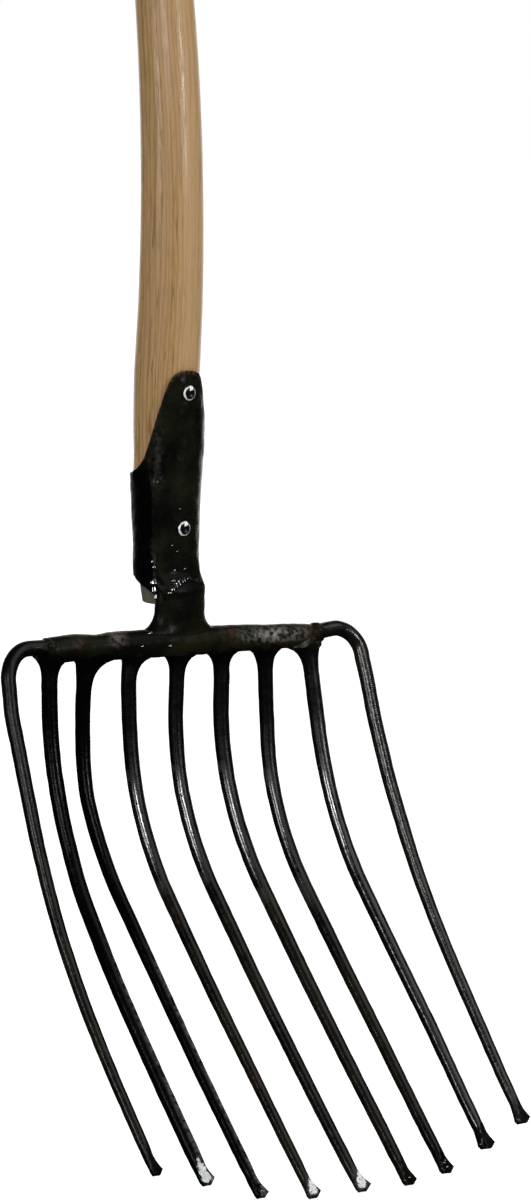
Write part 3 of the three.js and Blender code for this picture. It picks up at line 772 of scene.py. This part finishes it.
def planed_ash():
    # Ash, planed along the grain and waxed: ochre, with pinkish and darker stripes 1 to 3 mm wide from
    # its year rings, open pores as short dashes along the grain, its right flank, towards the camera's
    # right, made paler as painted light, grey at its foot, and a low sheen. The attribute holds each
    # point's place on the pole before it was bent, so the grain follows the bend.
    ash = bpy.data.materials.new("planed_ash")
    tree = new_tree(ash)
    along = add_node(tree, "Attribute", attribute_name="straight_grain").outputs["Vector"]
    # Noises drawn out along the grain: how the year rings drift, the open pores and the broad stripes
    noises = []
    for width, length, detail, rough in (
        (50 / 3, 200, 2.0, 0.5), (0.75, 16, 3.0, 0.6), (3.2, 160, 2.0, 0.5),
    ):
        drawn = add_node(tree, "Mapping", {
            "Vector": along, "Scale": (1 / mm(width), 1 / mm(width), 1 / mm(length)),
        })
        noises.append(add_node(tree, "TexNoise", {
            "Vector": drawn.outputs[0], "Scale": 1.0, "Detail": detail, "Roughness": rough,
        }).outputs["Fac"])
    drift, pores, broad = noises
    split = add_node(tree, "SeparateXYZ", {0: along})
    year_width = mm(2.5)
    across = add_node(tree, "Math", {0: split.outputs["X"], 1: 0.86 / year_width}, operation="MULTIPLY")
    through = add_node(tree, "Math", {
        0: split.outputs["Y"], 1: -0.5 / year_width, 2: across.outputs[0],
    }, operation="MULTIPLY_ADD")
    year = add_node(tree, "Math", {
        0: drift, 1: 4.5, 2: through.outputs[0],
    }, operation="MULTIPLY_ADD")
    year = add_node(tree, "Math", {0: year.outputs[0], 1: 1.0}, operation="FLOORED_MODULO")
    late = add_node(tree, "MapRange", {
        "Value": year.outputs[0], "From Min": 0.5, "From Max": 0.9,
    }, interpolation_type="SMOOTHSTEP")
    uneven = add_node(tree, "MapRange", {
        "Value": broad, "From Min": 0.35, "From Max": 0.65, "To Min": 0.4, "To Max": 1.0,
    })
    late = add_node(tree, "Math", {0: late.outputs[0], 1: uneven.outputs[0]}, operation="MULTIPLY")
    streaked = add_node(tree, "Mix", {
        0: late.outputs[0], 6: srgb("#a28255"), 7: srgb("#76582d"),
    }, data_type="RGBA")
    open_pores = add_node(tree, "MapRange", {
        "Value": pores, "From Min": 0.5, "From Max": 0.64, "To Max": 0.8,
    })
    pored = add_node(tree, "Mix", {
        0: open_pores.outputs[0], 6: streaked.outputs[2], 7: srgb("#6b4e2a"),
    }, data_type="RGBA")
    paler = add_node(tree, "MapRange", {
        "Value": broad, "From Min": 0.42, "From Max": 0.6, "To Max": 0.6,
    })
    tinted = add_node(tree, "Mix", {
        0: paler.outputs[0], 6: pored.outputs[2], 7: srgb("#a58562"),
    }, data_type="RGBA")
    # Painted light: the side towards the camera's right is mixed towards a paler tone, for more light
    # falling there.
    flank = add_node(tree, "Math", {0: split.outputs["X"], 1: 0.81}, operation="MULTIPLY")
    flank = add_node(tree, "Math", {
        0: split.outputs["Y"], 1: -0.59, 2: flank.outputs[0],
    }, operation="MULTIPLY_ADD")
    right_flank_light = add_node(tree, "MapRange", {
        "Value": flank.outputs[0], "From Min": mm(1), "From Max": mm(12), "To Max": 0.4,
    })
    tinted = add_node(tree, "Mix", {
        0: right_flank_light.outputs[0], 6: tinted.outputs[2], 7: srgb("#c1a078"),
    }, data_type="RGBA")
    # Grey at the foot, below 38 to 50 mm, where the pole shows under the socket's wing.
    grey_foot = add_node(tree, "MapRange", {
        "Value": split.outputs["Z"], "From Min": mm(38), "From Max": mm(50), "To Min": 0.92, "To Max": 0.0,
    })
    tinted = add_node(tree, "Mix", {
        0: grey_foot.outputs[0], 6: tinted.outputs[2], 7: srgb("#51514a"),
    }, data_type="RGBA")
    sheen = add_node(tree, "MapRange", {
        "Value": pores, "From Min": 0.35, "From Max": 0.7, "To Min": 0.18, "To Max": 0.36,
    })
    relief = add_node(tree, "Bump", {"Height": pores, "Distance": mm(0.25), "Strength": 0.35})
    finish = add_node(tree, "BsdfPrincipled", {
        "Base Color": tinted.outputs[2], "Roughness": sheen.outputs[0],
        "Specular IOR Level": 0.35, "Normal": relief.outputs[0],
    })
    add_node(tree, "OutputMaterial", {"Surface": finish.outputs[0]})
    return ash


pole_sides = 64
rings = handle_rings()
pole = draw_out([
    section(
        centre / 1000, Vector((mm(radius), 0, 0)),
        Vector((0, math.cos(math.radians(lean)), -math.sin(math.radians(lean)))) * mm(radius),
    ) for centre, lean, radius, height in rings
], pole_sides)
straight_places = []
pole.verts.ensure_lookup_table()
for corner in pole.verts:
    centre, lean, _, height = rings[corner.index // pole_sides]
    out = corner.co - centre / 1000
    deep = out.y * math.cos(math.radians(lean)) - out.z * math.sin(math.radians(lean))
    straight_places += [out.x, deep, mm(height)]
handle = finish_piece(pole, "bent_ash_pole", planed_ash(), "ash_wood", "handle")
grain = handle.data.attributes.new("straight_grain", "FLOAT_VECTOR", "POINT")
grain.data.foreach_set("vector", straight_places)


# Neck: the block of steel between the crossbar and the socket, forged out of the same piece as the
# socket's sheet. It is an oval that spreads into the bar in hollow fillets and into the sheet above.
wood_gap, sheet_thickness = 0.3, 2.4


def neck_section(z, outwards=0.0):
    """The oval outline of the neck at a height, which becomes the socket's tube further up."""
    neck_centre, half_width, neck_front, tube_front = 1.4, 18.0, -7.8, 0.3
    fillet_foot, fillet_height, fillet_width = 8.0, 13, 12
    blend = ease(ramp(z, 20, 62))
    back = ease(ramp(z, 30, 62))
    tube = wood_radius(z) + wood_gap + sheet_thickness
    foot = hollow(z - fillet_foot, fillet_height)
    centre = (neck_centre * (1 - foot)) * (1 - back) + (wood_front + wood_radius(z)) * back
    front = neck_front * (1 - ease(ramp(z, 33, 45))) + tube_front * ease(ramp(z, 33, 45))
    wide = half_width * (1 - blend) + tube * blend + foot * fillet_width + outwards
    deep = centre - front + outwards
    shift = 0.4 * (1 - blend) - 1.2 * foot
    return section(mm(shift, centre, z), Vector((mm(wide), 0, 0)), Vector((0, mm(deep), 0)))


smooth = lacquered_steel("smooth_lacquered_steel", 0.2, 0.4, 0.18, ("#050604", "#15170b", "#14110a"))
heights = [0, 3, 6, 8, 9, 10, 11] + [12 + 1.5 * step for step in range(16)]
neck = draw_out([neck_section(z, -0.5 * ramp(z, 27, 33)) for z in heights], sides=72)
stir(neck, mm(9), mm(0.4))
finish_piece(neck, "forged_neck", forged, "lacquered_steel", "neck", crease=60)


# Socket: steel sheet 2.4 mm thick, cut with a long tongue in front and two wings, and rolled hot
# round the wood with its edges left apart at the back. Its front thickens into the neck, and the
# left wing was hammered on after the rest, which left a crease and a lip down its front.
sheet_edge = 149
sheet_tops = (
    (0, 171.0), (12, 170.6), (22, 168.8), (29, 165.8), (37.6, 158.1), (49, 142.6), (59.4, 127),
    (69.7, 115.1), (78, 110.6), (87.4, 107.8), (105.8, 104.8), (110, 103.9), (149, 103.5),
)

# How low the sheet reaches at each angle from the front, as the table before says how high, and how
# far its left wing and its right side stand off the tube at each height
sheet_feet = (
    (0, 26), (50, 21), (58, 21.6), (64, 26), (70, 29.4), (76, 31.6), (82, 33.2), (88, 34.6), (94, 36),
    (100, 37.6), (106, 39.6), (124, 40), (149, 47),
)
wing_stand = ((30, 1.6), (38, 1.2), (44, 0.7), (50, 0), (60, -0.9), (75, -1.3), (100, -1.1), (112, 0))
right_stand = ((30, 0), (42, 0.2), (54, 0.8), (62, 1.0), (75, 0.7), (110, 0.5), (140, 0))

# Where the hammer left it standing out: the angle, its reach, the height, its reach and how far
swells = ((55, 26, 128, 26, 1.3), (60, 30, 60, 22, 0.7), (-45, 9, 105, 4, -0.9))


def bump(value, middle, reach):
    """A soft hump: 1 at its middle, and about a third at its reach."""
    return math.exp(-((value - middle) / reach) ** 2)


def sheet_place(angle, height, bottom):
    """A place on the sheet's outside, by its angle from the front and its height."""
    lean = math.radians(angle)
    out = Vector((math.sin(lean), -math.cos(lean), 0))
    swell = sum(
        far * bump(angle, at, wide) * bump(height, rise, tall) for at, wide, rise, tall, far in swells
    )
    ridge = 0.9 * bump(angle, -54, 6.5) * ramp(108 - height, 0, 12) * ramp(height, 44, 56)
    wing = between(wing_stand, height)[1] * math.sin(math.pi * ramp(angle, -170, -56))
    flank = between(right_stand, height)[1] * bump(angle, 55, 35)
    lip_angle = -56 - 1.15 * max(0, 52 - height)
    lip = (1.2 + 0.25 * math.sin(height * 0.7)) * bump(angle, lip_angle, 6) * ramp(56 - height, 0, 8)
    thinned = 0.6 * ramp(75 - abs(angle), 0, 15) * (1 - ramp(height, bottom, bottom + 7))
    push = swell + ridge + wing + flank + lip - thinned
    tube = mm(0, wood_front + wood_radius(height), height)
    tube += out * mm(wood_radius(height) + wood_gap + sheet_thickness)
    leaves = 55 + (20 * ramp(46 - height, 0, 10) if angle > 0 else 0)
    return (neck_section(height) @ out).lerp(tube, ease(ramp(abs(angle), leaves, 105))) + out * mm(push)


sheet = bmesh.new()
bmesh.ops.create_grid(sheet, x_segments=150, y_segments=100, size=1)
rim = sheet.verts.layers.float.new("rusty")
wing_shade_layer = sheet.verts.layers.float.new("darkened_dull")
sheen = sheet.verts.layers.float.new("painted_sheen")
for corner in sheet.verts:
    angle, share = corner.co.x * sheet_edge, (corner.co.y + 1) / 2
    top = between(sheet_tops, abs(angle))[1]
    bottom = between(sheet_feet, abs(angle))[1]
    height = bottom + (top - bottom) * share
    corner.co = sheet_place(angle, height, bottom)
    corner[rim] = 1.8 * ramp(height, top - 2.6, top) * ramp(75 - abs(angle), 0, 12)
    # Painted shade: the left wing, which faces away from the light, is darkened to black.
    corner[wing_shade_layer] = ramp(-52 - angle, 0, 6) * ramp(112 - height, 0, 10)
    # Painted sheen: a faint grey on the wing's front, high up and low down near the lip, for a lamp's
    # reflection.
    marked = bump(angle, -46, 7) * bump(height, 118, 18) + bump(angle, -57, 4) * bump(height, 57, 6)
    corner[sheen] = 0.08 * marked
stir(sheet, mm(9), mm(0.3))
stir(sheet, mm(3), mm(0.12))
middle = Vector((0, mm(23), mm(90)))
if sum((face.calc_center_median() - middle).dot(face.normal) for face in sheet.faces) < 0:
    bmesh.ops.reverse_faces(sheet, faces=sheet.faces)
socket = finish_piece(sheet, "rolled_socket", smooth, "lacquered_steel", "socket", crease=180)
socket.data.materials.append(shade_black)
socket.data.materials.append(forged)
# Faces of the darkened wing take the near-black copy of the lacquer, as painted shade.
wing_shade = socket.data.attributes["darkened_dull"].data
for face in socket.data.polygons:
    dull = 2 if face.center.z < mm(50) else 0
    face.material_index = 1 if wing_shade[face.vertices[0]].value > 0.5 else dull
wall = socket.modifiers.new("wall", "SOLIDIFY")
wall.thickness = mm(2.3)
wall.offset = -1
rounding = socket.modifiers.new("rounding", "BEVEL")
rounding.width = mm(0.6)
rounding.segments = 2
rounding.limit_method = "ANGLE"
rounding.angle_limit = math.radians(50)


# Weld across the neck: a shallow lumpy bead where the sheet was closed on the neck, with shining
# drops on its left half and spatter above, and a run of lacquer down the wing's lip.
path = []
left_end, step_angle, last_step = -62, 3.1, 40
for step in range(last_step + 1):
    turned = math.radians(left_end + step_angle * step)
    out = Vector((math.sin(turned), -math.cos(turned), 0))
    height = 33 + 7 * ramp(step, 4, 22) - 6 * ramp(step, 22, last_step)
    taper = math.sin(math.pi * (step + 1) / (last_step + 2)) ** 0.5
    size = (0.7 + 0.25 * math.sin(step * 1.3)) * taper
    tall = 2.6 + 0.6 * math.sin(step * 0.9)
    path.append(section(neck_section(height) @ out, out * mm(size), Vector((0, 0, mm(tall)))))
bead = draw_out(path, sides=14)

# Each drop: its angle from the front, its height and its half sizes
drops = (
    (-38, 34.6, 2.2, 1.7), (-31, 36.3, 2.8, 2.1), (-22, 37.6, 3.0, 2.2), (-14, 38.8, 3.0, 2.3),
    (-5, 39.6, 2.2, 1.8), (3, 40.6, 1.9, 1.5), (-26, 39.6, 1.5, 1.3), (-44, 32.6, 1.6, 1.4),
    (-8, 84.5, 0.8, 0.8), (-20, 61.3, 0.8, 0.8), (-11, 57.5, 0.9, 0.9), (7, 46.5, 1.0, 1.0),
    (-16, 46, 0.9, 0.9), (-60, 51, 1.4, 1.4), (-60, 47.5, 1.4, 1.4), (-71, 38.5, 2.2, 2.6),
    (-73, 34, 1.9, 3.4), (-72, 29.5, 1.4, 2.2),
)
add_drops(bead, [(sheet_place(angle, height, 20), wide, tall) for angle, height, wide, tall in drops])
stir(bead, mm(3), mm(0.25))
bead = finish_piece(bead, "neck_bead", forged, "lacquered_steel", "neck_weld", crease=80)
bead.data.materials.append(shining)


# Rivets: two soft steel rivets, zinc plated, put through from the front and closed over a burr at
# the back. The head is a low dome with a shallow cup where the set tool struck it, a bright burr over
# the cup, and lacquer in the cup.
def zinc_plated_steel():
    # Mild steel with bright zinc on it: a cool light grey metal, slightly frosted, showing through the
    # black lacquer as a thin broken ring.
    zinc = bpy.data.materials.new("zinc_plated_steel")
    tree = new_tree(zinc)
    place = add_node(tree, "TexCoord").outputs["Object"]
    frost = add_node(tree, "TexNoise", {"Vector": place, "Scale": 1 / mm(0.8), "Detail": 3.0})
    cover = add_node(tree, "Attribute", attribute_name="lacquered")
    rough = add_node(tree, "MapRange", {"Value": frost.outputs["Fac"], "To Min": 0.2, "To Max": 0.42})
    bare = add_node(tree, "BsdfPrincipled", {
        "Base Color": srgb("#eff1f0"), "Metallic": 0.2, "Roughness": rough.outputs[0],
    })
    black = add_node(tree, "BsdfPrincipled", {
        "Base Color": srgb("#0c0d0a"), "Roughness": 0.25, "Specular IOR Level": 0.2,
    })
    broken = add_node(tree, "TexNoise", {"Vector": place, "Scale": 1 / mm(1.7), "Detail": 1.0})
    patchy = add_node(tree, "Math", {
        0: broken.outputs["Fac"], 1: 0.7, 2: cover.outputs["Fac"],
    }, operation="MULTIPLY_ADD")
    edge = add_node(tree, "MapRange", {"Value": patchy.outputs[0], "From Min": 0.52, "From Max": 0.75})
    both = add_node(tree, "MixShader", {0: edge.outputs[0], 1: bare.outputs[0], 2: black.outputs[0]})
    add_node(tree, "OutputMaterial", {"Surface": both.outputs[0]})
    return zinc


zinc = zinc_plated_steel()


def turned_ring(name, node, profile, height, burrs=()):
    """Spins a profile of radius and depth round the rivet's axis, which runs along Y."""
    cup_edge, rim_edge = 3.8, 4.5
    turned = bmesh.new()
    corners = [turned.verts.new(mm(radius, depth, 0)) for radius, depth in profile]
    edges = [turned.edges.new(pair) for pair in zip(corners, corners[1:])]
    bmesh.ops.spin(
        turned, geom=corners + edges, cent=(0, 0, 0), axis=(0, 1, 0), angle=math.tau, steps=40,
        use_merge=True,
    )
    bmesh.ops.remove_doubles(turned, verts=turned.verts, dist=mm(0.01))
    bmesh.ops.recalc_face_normals(turned, faces=turned.faces)
    bmesh.ops.translate(turned, verts=turned.verts, vec=mm(0, 0, height))
    layer = turned.verts.layers.float.new("lacquered")
    for corner in turned.verts:
        out = math.hypot(corner.co.x, corner.co.z - mm(height)) * 1000
        lacquered = max(ramp(cup_edge - out, 0, 0.7), ramp(out - rim_edge, 0, 0.3))
        corner[layer] = lacquered if corner.co.y < mm(2) else 0
    for rise, size in burrs:
        bmesh.ops.create_icosphere(
            turned, subdivisions=3, radius=1,
            matrix=Matrix.LocRotScale(mm(0.2, -1.5, height + rise), upper_left, mm(size, 0.5 * size, size)),
        )
    finish_piece(turned, name, zinc, "zinc_steel", node, crease=40)


rivet_gap, seat_depth, burr_step, burr_thickness = 0.3, 1.5, 1.5, 1.2
head = [
    (0, -1.3), (1.2, -1.35), (2.2, -1.75), (2.9, -2.05), (3.5, -1.9), (4.2, -1.3), (4.65, -0.5),
    (4.75, 0.3), (2.75, 0.4),
]
closed_end = [(2.75, 0), (4.5, 0), (4.2, 0.9), (3.2, 1.6), (1.6, 1.95), (0, 2)]
washer = [
    (3.05, 0), (6.7, 0), (7, 0.3), (7, 0.9), (6.7, burr_thickness), (3.05, burr_thickness), (3.05, 0),
]
for place, height in (("upper", 157), ("lower", 72)):
    back = wood_front + 2 * wood_radius(height) - seat_depth + rivet_gap
    tail = [(radius, back + burr_step + depth) for radius, depth in closed_end]
    turned_ring(f"{place}_rivet", f"rivet_{place}", head + tail, height, [(3.2, 1.7)])
    burr = [(radius, back + depth) for radius, depth in washer]
    turned_ring(f"{place}_burr", f"burr_{place}", burr, height)
